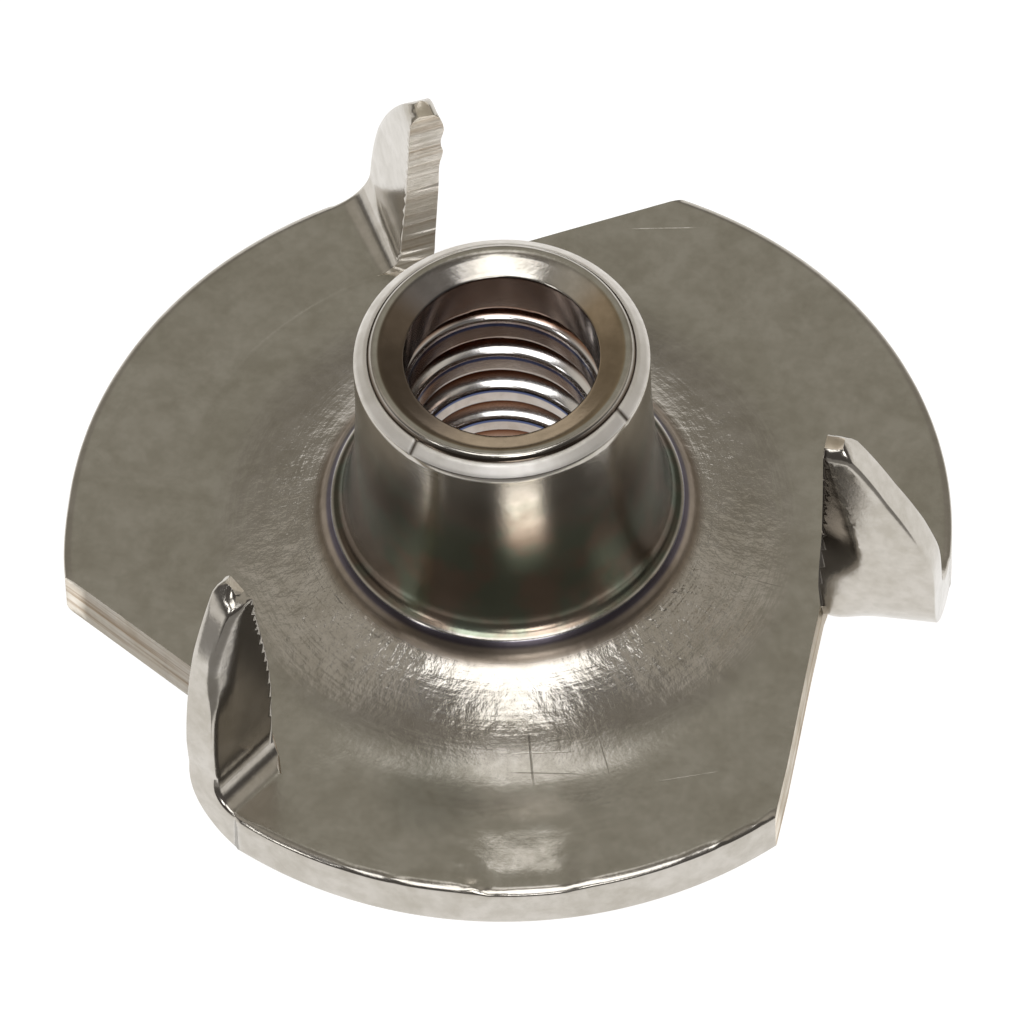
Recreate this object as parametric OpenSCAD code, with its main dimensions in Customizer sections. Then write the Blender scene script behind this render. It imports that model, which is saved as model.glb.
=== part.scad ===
// Three-prong tee nut: a round flange with a drawn, tapped barrel and three
// lanced prongs folded up around it. One stamped piece of sheet metal.
// Millimetres. The origin is on the bore axis, in the plane of the flange's
// underside; +Z runs up the barrel, and +X along the first prong's fold.

/* [Flange] */
// Diameter of the round blank
flange_d = 19.05; // [17:0.05:24]
// Thickness of the sheet
flange_t = 1.2; // [0.8:0.05:1.5]
// Radius left on the flange's bottom edge
edge_r = 0.12; // [0.05:0.01:0.2]
// Width over which blanking rolls the flange's top edge over
roll_w = 0.5; // [0.2:0.05:0.8]
// How far that edge drops
roll_drop = 0.12; // [0.02:0.01:0.2]

/* [Barrel] */
// Height from the underside of the flange to the top of the barrel
overall_h = 7.6; // [6:0.1:12]
// Outer diameter of the barrel
barrel_d = 6.3; // [5.2:0.05:8]
// Radius round the barrel's outer top edge
lip_r = 0.3; // [0.1:0.01:0.4]
// Height over which the barrel widens towards its root
flare_h = 1.8; // [1:0.1:2.4]
// How much wider the barrel's radius is at its root
flare_w = 0.62; // [0.2:0.02:0.8]

/* [Bore] */
// Diameter of the hole that the thread is cut in
bore_d = 3.7; // [3.2:0.05:4.6]
// How much wider the bore's radius is at its mouth, past the thread
mouth_w = 0.23; // [0.05:0.01:0.4]
// Depth of that plain mouth, from the top of the barrel
mouth_h = 1.65; // [1:0.05:2]
// Height over which the bore widens up to the mouth
taper_h = 2.4; // [1:0.1:3]
// How far the land round the mouth is dished
dish_drop = 0.18; // [0.05:0.01:0.3]
// Radius of the drawn entry on the underside
entry_r = 1.1; // [0.6:0.05:1.4]

/* [Root] */
// Height of the shoulder round the barrel's root, above the flange
shoulder_h = 1.1; // [0.6:0.05:1.3]
// Width of the flat ledge on top of the shoulder
ledge_w = 0.12; // [0.05:0.01:0.3]
// Width of the bevel on the shoulder's outer edge
bevel_w = 0.32; // [0.1:0.02:0.5]
// Height of that bevel
bevel_h = 0.3; // [0.1:0.02:0.5]
// Diameter at which the shoulder's hollow slope meets the flat of the flange
apron_d = 14.54; // [12:0.1:15.5]

/* [Prongs] */
// Number of prongs, equally spaced
prong_count = 3; // [2:1:4]
// Thickness that the prongs are coined to above the fold
prong_t = 0.86; // [0.7:0.02:1.1]
// Thickness that they taper to at the tip
tip_t = 0.66; // [0.5:0.02:0.7]
// How many times longer coining leaves the prongs
coin_stretch = 1.02; // [1:0.01:1.3]
// How far coining spreads the prongs outwards
coin_w = 0.16; // [0:0.01:0.2]
// Distance from the bore axis to the lancing cut
cut_x = 7.08; // [6.6:0.02:7.6]
// Inside radius of the fold
fold_r = 0.7; // [0.3:0.05:0.9]
// Where the fold starts, past the radial line
fold_start = 0.6; // [0:0.05:0.9]
// Width of the blunt tip
tip_w = 0.4; // [0.2:0.05:0.6]

/* [Hidden] */
$fn = 96;

flange_r = flange_d / 2;
barrel_r = barrel_d / 2;
bore_r = bore_d / 2;
mouth_r = bore_r + mouth_w;
apron_r = apron_d / 2;
root_r = barrel_r + flare_w;
shoulder_r = root_r + ledge_w + bevel_w;

// Reach of a cutting shape past what it cuts
past = 1;
// How far a form runs into the one that it joins
sink = 0.05;

// Half the length of the lancing cut, and how much of it the blunt tip loses
half_chord = sqrt(flange_r * flange_r - cut_x * cut_x);
tip_x = cut_x + tip_w - coin_w;
tip_drop = half_chord - sqrt(flange_r * flange_r - tip_x * tip_x);

// The fold uses up sheet along its mid line. What is left of the flap stands
// up straight, and sets the prong's height above the flange.
fold_length = (fold_r + flange_t / 2) * PI / 2;
prong_h = fold_r + coin_stretch * (half_chord - tip_drop + fold_start - fold_length);
prong_top = flange_t + prong_h;
// Place of the prong's face on the barrel's side of the fold
face_y = fold_start - fold_r;

// Radius of an arc that leaves a straight line at its tangent, and ends
// `run` along that line and `rise` away from it.
function tangent_arc_r(run, rise) = (run * run + rise * rise) / (2 * rise);

// The flange's half section, with its bottom edge rounded and its top edge
// rolled over.
module flange_section() {
    roll_r = tangent_arc_r(roll_w, roll_drop);
    difference() {
        square([flange_r, flange_t]);
        translate([flange_r - roll_w, flange_t - roll_drop]) difference() {
            square([roll_w + past, roll_drop + past]);
            translate([0, roll_drop - roll_r]) circle(roll_r, $fn = 360);
        }
        translate([flange_r - edge_r, 0]) difference() {
            translate([0, -past]) square([edge_r + past, edge_r + past]);
            translate([0, edge_r]) circle(edge_r);
        }
    }
}

// The shoulder round the barrel's root: a bevelled ledge, and a hollow slope
// that runs out onto the flange.
module shoulder_section() {
    foot_h = shoulder_h - bevel_h;
    slope_r = tangent_arc_r(apron_r - shoulder_r, foot_h);
    translate([0, flange_t]) {
        polygon([
            [0, -flange_t], [0, shoulder_h], [root_r + ledge_w, shoulder_h],
            [shoulder_r, foot_h], [shoulder_r, -flange_t]
        ]);
        difference() {
            translate([shoulder_r, -flange_t / 2])
                square([apron_r - shoulder_r, foot_h + flange_t / 2]);
            translate([apron_r, slope_r]) circle(slope_r, $fn = 360);
        }
    }
}

// The barrel: straight at the top, and widening in an arc down to the ledge.
module barrel_section() {
    ledge_z = flange_t + shoulder_h;
    flare_r = tangent_arc_r(flare_h, flare_w);
    difference() {
        square([barrel_r, overall_h]);
        translate([barrel_r - lip_r, overall_h - lip_r]) difference() {
            square([lip_r + past, lip_r + past]);
            circle(lip_r);
        }
    }
    difference() {
        square([root_r, ledge_z + flare_h]);
        translate([barrel_r + flare_r, ledge_z + flare_h]) circle(flare_r, $fn = 360);
    }
}

// What the punch and the tap remove: the hole, widening up to its plain mouth,
// the dish in the land round the mouth, and the rounded entry that drawing
// leaves on the underside.
module bore_section() {
    mouth_z = overall_h - mouth_h;
    translate([0, -past]) square([bore_r, overall_h + 2 * past]);
    polygon([
        [0, mouth_z - taper_h], [bore_r, mouth_z - taper_h], [mouth_r, mouth_z],
        [mouth_r, overall_h - dish_drop], [barrel_r - lip_r, overall_h],
        [barrel_r - lip_r, overall_h + past], [0, overall_h + past]
    ]);
    difference() {
        translate([0, -past]) square([bore_r + entry_r, entry_r + past]);
        translate([bore_r + entry_r, entry_r]) circle(entry_r);
    }
}

// The blank as it is drawn, before the prongs are lanced.
module drawn_blank() {
    rotate_extrude($fn = 360) difference() {
        union() {
            flange_section();
            shoulder_section();
            barrel_section();
        }
        bore_section();
    }
}

// Everything from here on is in a prong's own place: its fold lies along +X,
// its flap came from the -Y side, and the flange goes on at +Y.

// The part of the flange that the flap leaves open.
module flap_opening() {
    translate([cut_x, fold_start - flange_r, -past])
        cube([flange_r, flange_r, flange_t + 2 * past]);
}

// Section of the fold, seen along +X: the sheet turns up through a quarter
// circle and thins to the prong on the way.
module fold_section() {
    outer_r = fold_r + flange_t;
    outer_y = face_y - prong_t + outer_r;
    difference() {
        union() {
            intersection() {
                translate([outer_y, outer_r]) circle(outer_r);
                translate([outer_y - outer_r, 0]) square([outer_r, outer_r]);
            }
            translate([outer_y - sink, 0])
                square([fold_start - outer_y + 2 * sink, flange_t + fold_r]);
        }
        translate([fold_start, flange_t + fold_r]) circle(fold_r);
        translate([fold_start, flange_t]) square([past, past + fold_r]);
    }
}

// Section of the prong above its fold, seen along +X, tapering to the tip.
module plate_section() {
    fold_z = flange_t + fold_r;
    polygon([
        [face_y, fold_z], [face_y, prong_top + sink],
        [face_y - tip_t, prong_top + sink], [face_y - prong_t, fold_z]
    ]);
}

// Outline of the prong, seen along -Y: the lancing cut on the inside, and
// outside the arc of the blank's own rim, spread by coining, up to a blunt tip.
module prong_outline() {
    rim_z = prong_top - half_chord + tip_drop;
    intersection() {
        translate([coin_w, rim_z]) circle(flange_r, $fn = 360);
        translate([cut_x, 0]) square([flange_r, prong_top]);
    }
}

// One prong with its fold.
module prong() {
    intersection() {
        translate([0, fold_start + sink, 0]) rotate([90, 0, 0])
            linear_extrude(flange_r) prong_outline();
        rotate([90, 0, 90]) linear_extrude(flange_r) {
            fold_section();
            plate_section();
        }
        cylinder(r = flange_r, h = prong_top, $fn = 360);
    }
}

// The finished nut.
module tee_nut() {
    color("#8f8a7e") {
        difference() {
            drawn_blank();
            for (i = [0 : prong_count - 1])
                rotate(i * 360 / prong_count) flap_opening();
        }
        for (i = [0 : prong_count - 1])
            rotate(i * 360 / prong_count) prong();
    }
}

tee_nut();
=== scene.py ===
"""Three-prong tee nut: one stamped piece of bright sheet steel, on a pale floor.

The piece is made as the real one is: a blank is spun from its half section,
a thread is cut in its bore, three flaps are lanced in its flange, and each is
folded up into a prong. Shapes are worked in millimetres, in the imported
model's own frame, and brought to metres at the end. Angles are in degrees,
unless a comment says otherwise.
"""

import logging
import math
from dataclasses import dataclass, field
from enum import Enum
from typing import Callable, Iterable, Sequence

import bmesh
import bpy
from mathutils import Matrix, Vector, noise


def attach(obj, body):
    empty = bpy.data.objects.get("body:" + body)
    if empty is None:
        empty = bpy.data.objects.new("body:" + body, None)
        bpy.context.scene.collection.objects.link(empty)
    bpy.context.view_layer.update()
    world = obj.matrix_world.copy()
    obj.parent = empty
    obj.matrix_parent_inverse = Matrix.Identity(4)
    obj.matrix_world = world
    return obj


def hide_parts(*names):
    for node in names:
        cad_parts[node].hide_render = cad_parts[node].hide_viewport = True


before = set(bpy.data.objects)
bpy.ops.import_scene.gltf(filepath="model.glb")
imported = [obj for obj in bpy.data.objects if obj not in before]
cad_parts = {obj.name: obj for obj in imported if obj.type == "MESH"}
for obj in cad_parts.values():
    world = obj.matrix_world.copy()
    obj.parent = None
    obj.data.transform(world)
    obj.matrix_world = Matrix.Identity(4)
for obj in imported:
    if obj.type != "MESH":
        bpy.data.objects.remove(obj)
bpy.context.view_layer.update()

LOG = logging.getLogger("tee_nut")
PIECE = "tee_nut_piece"
MM = 0.001
TURN = 2 * math.pi
ORIGIN = (0, 0, 0)
UP = (0, 0, 1)
# Distance at which two points of the mesh are one
TOUCH = 1e-4
# Distance from a slicing plane at which a point is taken as in it
SNAP = 0.004

Pair = tuple[float, float]
Curve = tuple[Pair, ...]
Colour = tuple[float, float, float]
Mesh = bmesh.types.BMesh
Face = bmesh.types.BMFace
Node = bpy.types.Node
Socket = bpy.types.NodeSocket
Source = Socket | float | tuple


def ramp(value: float, low: float, high: float) -> float:
    """Goes smoothly from 0 to 1.

    Args:
        value: Where to read the ramp.
        low: Value at which it leaves 0.
        high: Value at which it reaches 1.

    Returns:
        The height of the ramp.
    """
    t = min(1.0, max(0.0, (value - low) / (high - low)))
    return t * t * (3 - 2 * t)


def read(curve: Curve, value: float) -> float:
    """Reads a curve of straight strokes, which goes on level past its ends.

    Args:
        curve: Its points, in rising order.
        value: Where it is read.

    Returns:
        Its height there.
    """
    if value <= curve[0][0]:
        return curve[0][1]
    for (a, low), (b, high) in zip(curve, curve[1:]):
        if value <= b:
            return low + (high - low) * (value - a) / (b - a)
    return curve[-1][1]


def tangent_arc(run: float, rise: float) -> float:
    """Radius of an arc that leaves a straight line at its tangent.

    Args:
        run: How far the arc goes along the line.
        rise: How far it has left the line by then.

    Returns:
        The arc's radius.
    """
    return (run * run + rise * rise) / (2 * rise)


def slice_faces(
    bm: Mesh,
    faces: Iterable[Face],
    place: Sequence[float],
    normal: Sequence[float],
    clear: bool = False,
) -> None:
    """Cuts some faces of a mesh along a plane.

    Args:
        bm: The mesh.
        faces: The faces that are cut.
        place: A point of the plane.
        normal: The plane's normal.
        clear: Whether what is beyond the plane goes.
    """
    faces = list(faces)
    edges = {e for f in faces for e in f.edges}
    verts = {v for f in faces for v in f.verts}
    bmesh.ops.bisect_plane(
        bm,
        geom=[*verts, *edges, *faces],
        dist=SNAP,
        plane_co=place,
        plane_no=normal,
        use_snap_center=True,
        clear_outer=clear,
    )


def spin_points(bm: Mesh, points: Iterable[Pair], steps: int, climb: float = 0.0) -> None:
    """Spins a string of points round the axis.

    Args:
        bm: The mesh that they go in.
        points: Radius and height of each point.
        steps: Divisions of the turn.
        climb: Rise in the turn; where there is one, its ends aren't merged.
    """
    verts = [bm.verts.new((r, 0, z)) for r, z in points]
    edges = [bm.edges.new(pair) for pair in zip(verts, verts[1:])]
    bmesh.ops.spin(
        bm,
        geom=[*verts, *edges],
        cent=ORIGIN,
        axis=UP,
        dvec=(0, 0, climb / steps),
        angle=TURN,
        steps=steps,
        use_merge=not climb,
    )


class Skin(Enum):
    """The finishes of the one piece, in the order of its material slots."""

    DRAWN = 0
    SHEARED = 1
    TAPPED = 2
    FACED = 3


# --------------------------------------------------------------------- form


@dataclass
class Section:
    """An open half section, drawn one stroke after another."""

    points: list[Pair] = field(default_factory=list)  # radius and height
    corner_share: float = 0.35  # most of a stroke that easing a corner takes

    def line(self, r: float, z: float, steps: int = 1) -> None:
        """Draws a straight stroke.

        Args:
            r: Radius that it ends at.
            z: Height that it ends at.
            steps: Number of equal parts in it.
        """
        r0, z0 = self.points[-1] if self.points else (r, z)
        for k in range(1, steps + 1):
            t = k / steps
            self.points.append((r0 + (r - r0) * t, z0 + (z - z0) * t))

    def arc(self, centre: Pair, radius: float, start: float, end: float, steps: int) -> None:
        """Draws an arc, from the point where the pen already is.

        Args:
            centre: Radius and height of its centre.
            radius: Its radius.
            start: Angle of its start, from the level upwards.
            end: Angle of its end.
            steps: Number of equal parts in it.
        """
        for k in range(1, steps + 1):
            a = math.radians(start + (end - start) * k / steps)
            self.points.append((centre[0] + radius * math.cos(a), centre[1] + radius * math.sin(a)))

    def eased(self, width: float, turn: float) -> list[Pair]:
        """Takes the corners off the section.

        Args:
            width: How far from a corner it is cut.
            turn: Angle past which a point is a corner.

        Returns:
            The points, with two in place of each corner.
        """
        kept = [self.points[0]]
        for before, here, after in zip(self.points, self.points[1:], self.points[2:]):
            back, ahead = Vector(before) - Vector(here), Vector(after) - Vector(here)
            if math.degrees(math.pi - back.angle(ahead)) < turn:
                kept.append(here)
                continue
            for way in (back, ahead):
                cut = min(width, way.length * self.corner_share)
                kept.append(tuple(Vector(here) + way.normalized() * cut))
        return [*kept, self.points[-1]]


@dataclass
class Flange:
    """The round flange and the shoulder that drawing leaves on it."""

    radius: float = 9.52
    t: float = 1.2
    fine_r: float = 6.9  # the underside is divided finely past it
    edge_r: float = 0.12  # rounding of the bottom edge
    roll: Pair = (0.22, 0.08)  # width and drop of the top edge
    apron_r: float = 7.27  # where the shoulder's hollow slope meets the flat
    shoulder_h: float = 1.1
    ledge: Pair = (0.07, 0.04)  # width and drop of the shoulder's top
    bevel: Pair = (0.27, 0.3)  # width and height of the shoulder's edge
    burrs: Curve = (  # angle and radius of each
        (-156.7, 8.86), (-153.6, 8.59), (-100.4, 9.45), (-98.5, 9.45), (-92.8, 9.45),
        (-83.2, 9.45), (-79.5, 9.45), (-55.5, 9.45), (-49.8, 9.45), (-44.3, 9.45),
        (83.6, 9.0), (81.4, 9.2), (77.4, 9.1),
    )

    def draw(self, pen: Section, root_r: float) -> None:
        """Draws the underside, the rim, the top and the shoulder.

        Args:
            pen: Section that stands at the end of the bore's entry.
            root_r: Radius at which the barrel stands on the ledge.
        """
        roll_w, roll_drop = self.roll
        ledge_r, ledge_z = root_r + self.ledge[0], self.shoulder_h - self.ledge[1]
        foot_r, foot = ledge_r + self.bevel[0], ledge_z - self.bevel[1]
        side = self.radius - self.edge_r
        pen.line(self.fine_r, 0, steps=6)
        pen.line(side, 0, steps=18)
        pen.arc((side, self.edge_r), self.edge_r, -90, 0, steps=4)
        pen.line(self.radius, self.t - roll_drop, steps=5)
        roll = tangent_arc(roll_w, roll_drop)
        lean = math.degrees(math.asin(roll_w / roll))
        pen.arc((self.radius - roll_w, self.t - roll), roll, 90 - lean, 90, steps=7)
        pen.line(self.apron_r, self.t, steps=14)
        slope = tangent_arc(self.apron_r - foot_r, foot)
        reach = math.degrees(math.asin((self.apron_r - foot_r) / slope))
        pen.arc((self.apron_r, self.t + slope), slope, -90, -90 - reach, steps=20)
        pen.line(ledge_r, self.t + ledge_z, steps=3)
        pen.line(root_r, self.t + self.shoulder_h, steps=2)


@dataclass
class Barrel:
    """The drawn barrel, with its flared root and its worked top."""

    top: float = 7.6
    radius: float = 3.15
    flare: Curve = (  # height above the ledge and added radius, from the foot up
        (0.0, 0.57), (0.05, 0.47), (0.14, 0.38), (0.32, 0.3), (0.6, 0.235),
        (0.95, 0.18), (1.4, 0.125), (2.0, 0.075), (2.8, 0.03), (3.6, 0.0),
    )
    bevel: Pair = (0.29, 0.21)  # width and height of the outer top edge
    bevel_z: float = 7.28  # where that bevel starts
    crease: Pair = (0.015, 0.06)  # width and depth, inside the bevel
    ridge: Pair = (2.7, 0.12)  # its radius, and its section's
    ridge_side: float = 0.5  # where its section starts, in radians
    land: Pair = (2.56, 7.585)  # radius and height where the dished land starts
    mouth: Pair = (2.08, 7.375)  # the same of the edge where it ends
    lip: Pair = (0.02, 0.008)  # how far that edge's rounding goes up the land
    lip_drop: float = 0.015  # and down the mouth
    stop: float = 0.2  # how far below that edge the section stops
    breaks: Pair = (-116.7, -20.6)  # angles at which the bevel is broken

    def draw(self, pen: Section, ledge_z: float) -> None:
        """Draws the flare, the wall, the bevel, the ridge and the mouth.

        Args:
            pen: Section that stands at the flare's foot, on the ledge.
            ledge_z: Height of the ledge.
        """
        for rise, wide in self.flare[1:]:
            pen.line(self.radius + wide, ledge_z + rise, steps=2)
        pen.line(self.radius, self.bevel_z, steps=8)
        r, z = self.radius - self.bevel[0], self.bevel_z + self.bevel[1]
        pen.line(r, z, steps=3)
        pen.line(r - self.crease[0], z - self.crease[1])
        (middle, round_r), side = self.ridge, self.ridge_side
        low = self.top - round_r
        pen.line(middle + round_r * math.cos(side), low + round_r * math.sin(side))
        pen.arc((middle, low), round_r, math.degrees(side), 90, steps=5)
        pen.line(*self.land, steps=2)
        r, z = self.mouth
        pen.line(r + self.lip[0], z + self.lip[1], steps=5)
        pen.line(r, z - self.lip_drop)
        pen.line(r, self.stop_z, steps=3)

    @property
    def stop_z(self) -> float:
        """Height in the plain mouth at which the blank's section stops."""
        return self.mouth[1] - self.stop


@dataclass
class Bore:
    """The hole through the barrel, and the thread that the tap leaves in it."""

    radius: float = 1.85  # before tapping
    entry_r: float = 1.1  # rounding of the drawn entry on the underside
    widens: Pair = (3.4, 5.9)  # heights between which it widens to the mouth
    pitch: float = 1.058
    major_r: float = 2.413  # bottom of the thread's groove
    minor_r: float = 1.82  # its crest
    crest: float = 0.174  # half the crest's width, as a share of the pitch
    groove: float = 0.062  # half the width of the groove's bottom
    soften: float = 0.05  # how far its corners are rounded
    phase: float = 0.91  # where the groove stands at the first prong
    runs_out: Pair = (6.1, 6.5)  # heights between which the thread fades out
    below: float = 1.2  # how far below the underside its mesh is started
    steps: int = 160  # divisions of a turn
    rows: int = 22  # divisions of a pitch

    def groove_r(self, share: float) -> float:
        """Radius of the thread's own profile.

        Args:
            share: Height in the pitch, from 0 to 1, with a crest at 0.

        Returns:
            The radius there.
        """
        away = abs((share % 1.0) - 0.5)
        width = 0.5 - self.crest - self.groove
        t = min(1.0, max(0.0, (0.5 - self.crest - away) / width))
        t = t + self.soften * math.sin(TURN * t) * -0.5
        return self.minor_r + (self.major_r - self.minor_r) * t

    def hole_r(self, z: float, mouth_r: float) -> float:
        """Radius of the untapped hole: entry, wall and plain mouth.

        Args:
            z: Height above the underside.
            mouth_r: Radius of the plain mouth.

        Returns:
            The radius there.
        """
        if z < self.entry_r:
            up = self.entry_r - z
            return self.radius + self.entry_r - math.sqrt(max(0.0, self.entry_r**2 - up * up))
        low, high = self.widens
        if z < high:
            return self.radius + (mouth_r - self.radius) * max(0.0, (z - low) / (high - low))
        return mouth_r

    def cut_r(self, r: float, z: float, mouth_r: float) -> float:
        """Radius of the finished bore.

        Args:
            r: Radius of the thread's profile there.
            z: Height above the underside.
            mouth_r: Radius of the plain mouth.

        Returns:
            The radius there.
        """
        deep = 1 - ramp(z, *self.runs_out)
        return max(self.minor_r + (r - self.minor_r) * deep, self.hole_r(z, mouth_r))


class Side(Enum):
    """The two faces of a prong."""

    INNER = 0
    OUTER = 1

    def share(self, deep: float) -> float:
        """How much a point takes part in a move of this face, with its sign.

        Args:
            deep: Depth of the point in the sheet, from 0 at the inner face
                to 1 at the outer face.

        Returns:
            The share, negative where the face moves the other way.
        """
        return deep if self is Side.OUTER else deep - 1


@dataclass(frozen=True)
class Crease:
    """A straight crease on a prong, past which its face is pressed back."""

    face: Side
    low: Pair  # distance from the axis and height of its lower end
    high: Pair  # the same of its upper end
    slope: float  # depth for each millimetre past it; towards the rim if negative
    foot: Pair  # heights between which it starts

    def depth(self, x: float, z: float) -> float:
        """How far the face is pressed back at a place on it.

        Args:
            x: Distance of the place from the axis.
            z: Its height.

        Returns:
            The depth.
        """
        share = (z - self.low[1]) / (self.high[1] - self.low[1])
        line = self.low[0] + (self.high[0] - self.low[0]) * share
        past = line - x if self.slope > 0 else x - line
        return max(0.0, past) * abs(self.slope) * ramp(z, *self.foot)


@dataclass(frozen=True)
class Boss:
    """A small swelling of a prong's face."""

    face: Side
    x: float  # distance of its middle from the axis
    z: float
    spread: Pair  # half widths along the fold and upwards
    height: float

    def rise(self, x: float, z: float) -> float:
        """How far the face stands out at a place on it."""
        across, up = (x - self.x) / self.spread[0], (z - self.z) / self.spread[1]
        return self.height * math.exp(-across * across - up * up)


@dataclass
class Prong:
    """One prong: a flap lanced in the flange and folded up.

    In the prong's own place its fold lies along +X, its flap comes from the
    -Y side, and the flange goes on at +Y.
    """

    number: int  # from 1
    turn: float  # of its fold round the axis
    lean: float = 0.0  # how far past upright it is folded
    face_y: float = -0.1  # its inner face at the top of the fold
    start: Pair = (0.6, 0.6)  # where the fold starts, at the cut and at the rim
    root_t: float = 0.86  # thickness above the fold
    tip_t: float = 0.66
    stretch: float = 1.02  # how many times longer coining leaves it
    tip_w: float = 0.3  # width of the blunt tip
    tip_slant: float = 0.0  # how much lower the tip is at its inner face
    inner: Curve = ((0.0, 0.0),)  # height, and how far the cut edge stands out
    outer: Curve = ((0.0, 0.0),)  # the same of the rim
    notch: Curve = ((0.0, 0.0),)  # place along the flange's cut edge, and the same
    creases: tuple[Crease, ...] = ()
    bosses: tuple[Boss, ...] = ()
    cut_x: float = 7.08  # distance from the axis to the lancing cut
    reach: float = 9.515  # how far out any of it may stand
    held: float = 0.12  # width inside the reach over which it is held back
    slant_len: float = 0.7  # length of the tip that the slant takes up
    pinch: float = 0.5  # share of the thickness that rounding takes off the tip
    pinch_len: float = 0.42
    pinch_drop: float = 0.7  # how far that lowers a face, for each millimetre
    notch_run: Pair = (0.9, 1.6)  # how far the notch fades past the fold and inwards
    parts: tuple[int, int] = (18, 14)  # divisions of the fold and of the blade

    def tip_y(self, flange: Flange) -> float:
        """Length of the flap to its blunt tip, as a distance from +X."""
        tip_x = self.cut_x + self.tip_w
        return math.sqrt(flange.radius**2 - tip_x * tip_x)

    def start_at(self, x: float, flange: Flange) -> float:
        """Where the fold starts, at a distance from the axis."""
        share = (x - self.cut_x) / (flange.radius - self.cut_x)
        return self.start[0] + (self.start[1] - self.start[0]) * share

    def across(self, place: Vector, flange: Flange) -> float:
        """Share of the way from the cut to the rim.

        Args:
            place: A point of the blank, in the prong's own place.
            flange: The flange that the flap is cut from.

        Returns:
            The share, from 0 to 1.
        """
        rim = math.sqrt(max(1.0, flange.radius**2 - place.y**2))
        share = (place.x - self.cut_x) / max(0.1, rim - self.cut_x)
        return min(1.0, max(0.0, share))

    def bent(self, place: Vector, flange: Flange) -> Vector:
        """Carries a point of the flat flap to where folding takes it.

        Args:
            place: The point, in the prong's own place.
            flange: The flange that the flap is cut from.

        Returns:
            Where the point goes.
        """
        start = self.start_at(place.x, flange)
        fold_r = start - self.face_y
        along = max(0.0, start - place.y)
        mid = fold_r + flange.t / 2
        full = math.radians(90 + self.lean)
        angle = min(full, along / mid)
        past = max(0.0, along - mid * full) * self.stretch
        length = (self.tip_y(flange) + start - mid * full) * self.stretch
        t = self.root_t + (self.tip_t - self.root_t) * min(1.0, past / length)
        thin = 1 + (t / flange.t - 1) * math.sin(min(angle, math.pi / 2))
        deep = 1 - place.z / flange.t
        reach = fold_r + (flange.t - place.z) * thin
        y = start - reach * math.sin(angle) - past * math.cos(angle)
        z = flange.t + fold_r - reach * math.cos(angle) + past * math.sin(angle)
        height = flange.t + fold_r * (1 - math.cos(angle)) + past * math.sin(angle)
        share = self.across(place, flange)
        x = place.x + read(self.inner, height) * (1 - share) + read(self.outer, height) * share
        near = self.reach - self.held
        if x > near:
            x = near + self.held * (1 - math.exp((near - x) / self.held))
        for crease in self.creases:
            y += crease.depth(x, height) * crease.face.share(deep)
        for boss in self.bosses:
            y -= boss.rise(x, z) * boss.face.share(deep)
        z -= self.tip_slant * (1 - deep) * ramp(past, length - self.slant_len, length)
        near_tip = max(0.0, (past - length + self.pinch_len) / self.pinch_len)
        pinch = (deep - 0.5) * t * self.pinch * near_tip**2
        return Vector((x, y + pinch, z - abs(pinch) * self.pinch_drop))

    def shifted(self, place: Vector, flange: Flange) -> Vector:
        """Moves a point of the flange beside the cut with the cut's edge.

        Args:
            place: The point, in the prong's own place.
            flange: The flange that the flap is cut from.

        Returns:
            Where the point goes.
        """
        start = self.start_at(place.x, flange)
        on, in_ = self.notch_run
        shift = read(self.notch, place.y) * (1 - ramp(place.y, start, start + on))
        if place.x > self.cut_x:
            shift *= 1 - self.across(place, flange)
        else:
            shift *= ramp(place.x, self.cut_x - in_, self.cut_x)
        return place + Vector((shift, 0, 0))

    def faces(self, bm: Mesh) -> list[Face]:
        """The faces of the flap."""
        flap = bm.faces.layers.int["flap"]
        return [f for f in bm.faces if f[flap] == self.number]

    def cut_edges(self, bm: Mesh) -> list[bmesh.types.BMEdge]:
        """The edges that lie in the plane of the lancing cut."""
        return [e for e in bm.edges if all(abs(v.co.x - self.cut_x) < TOUCH for v in e.verts)]

    def shear(self, bm: Mesh, edges: list[bmesh.types.BMEdge], number: int) -> None:
        """Closes a loop of edges with a sheared wall.

        Args:
            bm: The mesh.
            edges: The loop.
            number: Number of the flap that the wall belongs to, or 0.
        """
        flap = bm.faces.layers.int["flap"]
        for f in bmesh.ops.edgeloop_fill(bm, edges=edges)["faces"]:
            f[flap] = number
            f.material_index = Skin.SHEARED.value

    def lance(self, bm: Mesh, flange: Flange) -> None:
        """Cuts the flap free, closes the cut's two walls and trims the tip.

        Args:
            bm: The spun blank, turned so that the prong is in its own place.
            flange: The flange that it is cut in.
        """
        flap = bm.faces.layers.int["flap"]
        # The region that is cut, round the flap: its least x, most y and most z
        near, over, high = self.cut_x - 0.5, self.start[0] + 0.7, flange.t + 0.4
        run = (flange.radius - self.cut_x, self.start[1] - self.start[0])
        across = Vector((-run[1], run[0], 0)).normalized()
        hinge = Vector((self.cut_x, self.start[0], 0))

        def region(test: Callable[[Vector], bool]) -> list[Face]:
            """Faces of the region whose middle passes a test."""
            middles = ((f, f.calc_center_median()) for f in bm.faces)
            return [f for f, c in middles if c.x > near and c.y < over and c.z < high and test(c)]

        slice_faces(bm, region(lambda c: True), hinge, across)
        slice_faces(bm, region(lambda c: (c - hinge).dot(across) < 0), hinge, (1, 0, 0))
        for f in region(lambda c: (c - hinge).dot(across) < 0 and c.x > self.cut_x):
            f[flap] = self.number
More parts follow.
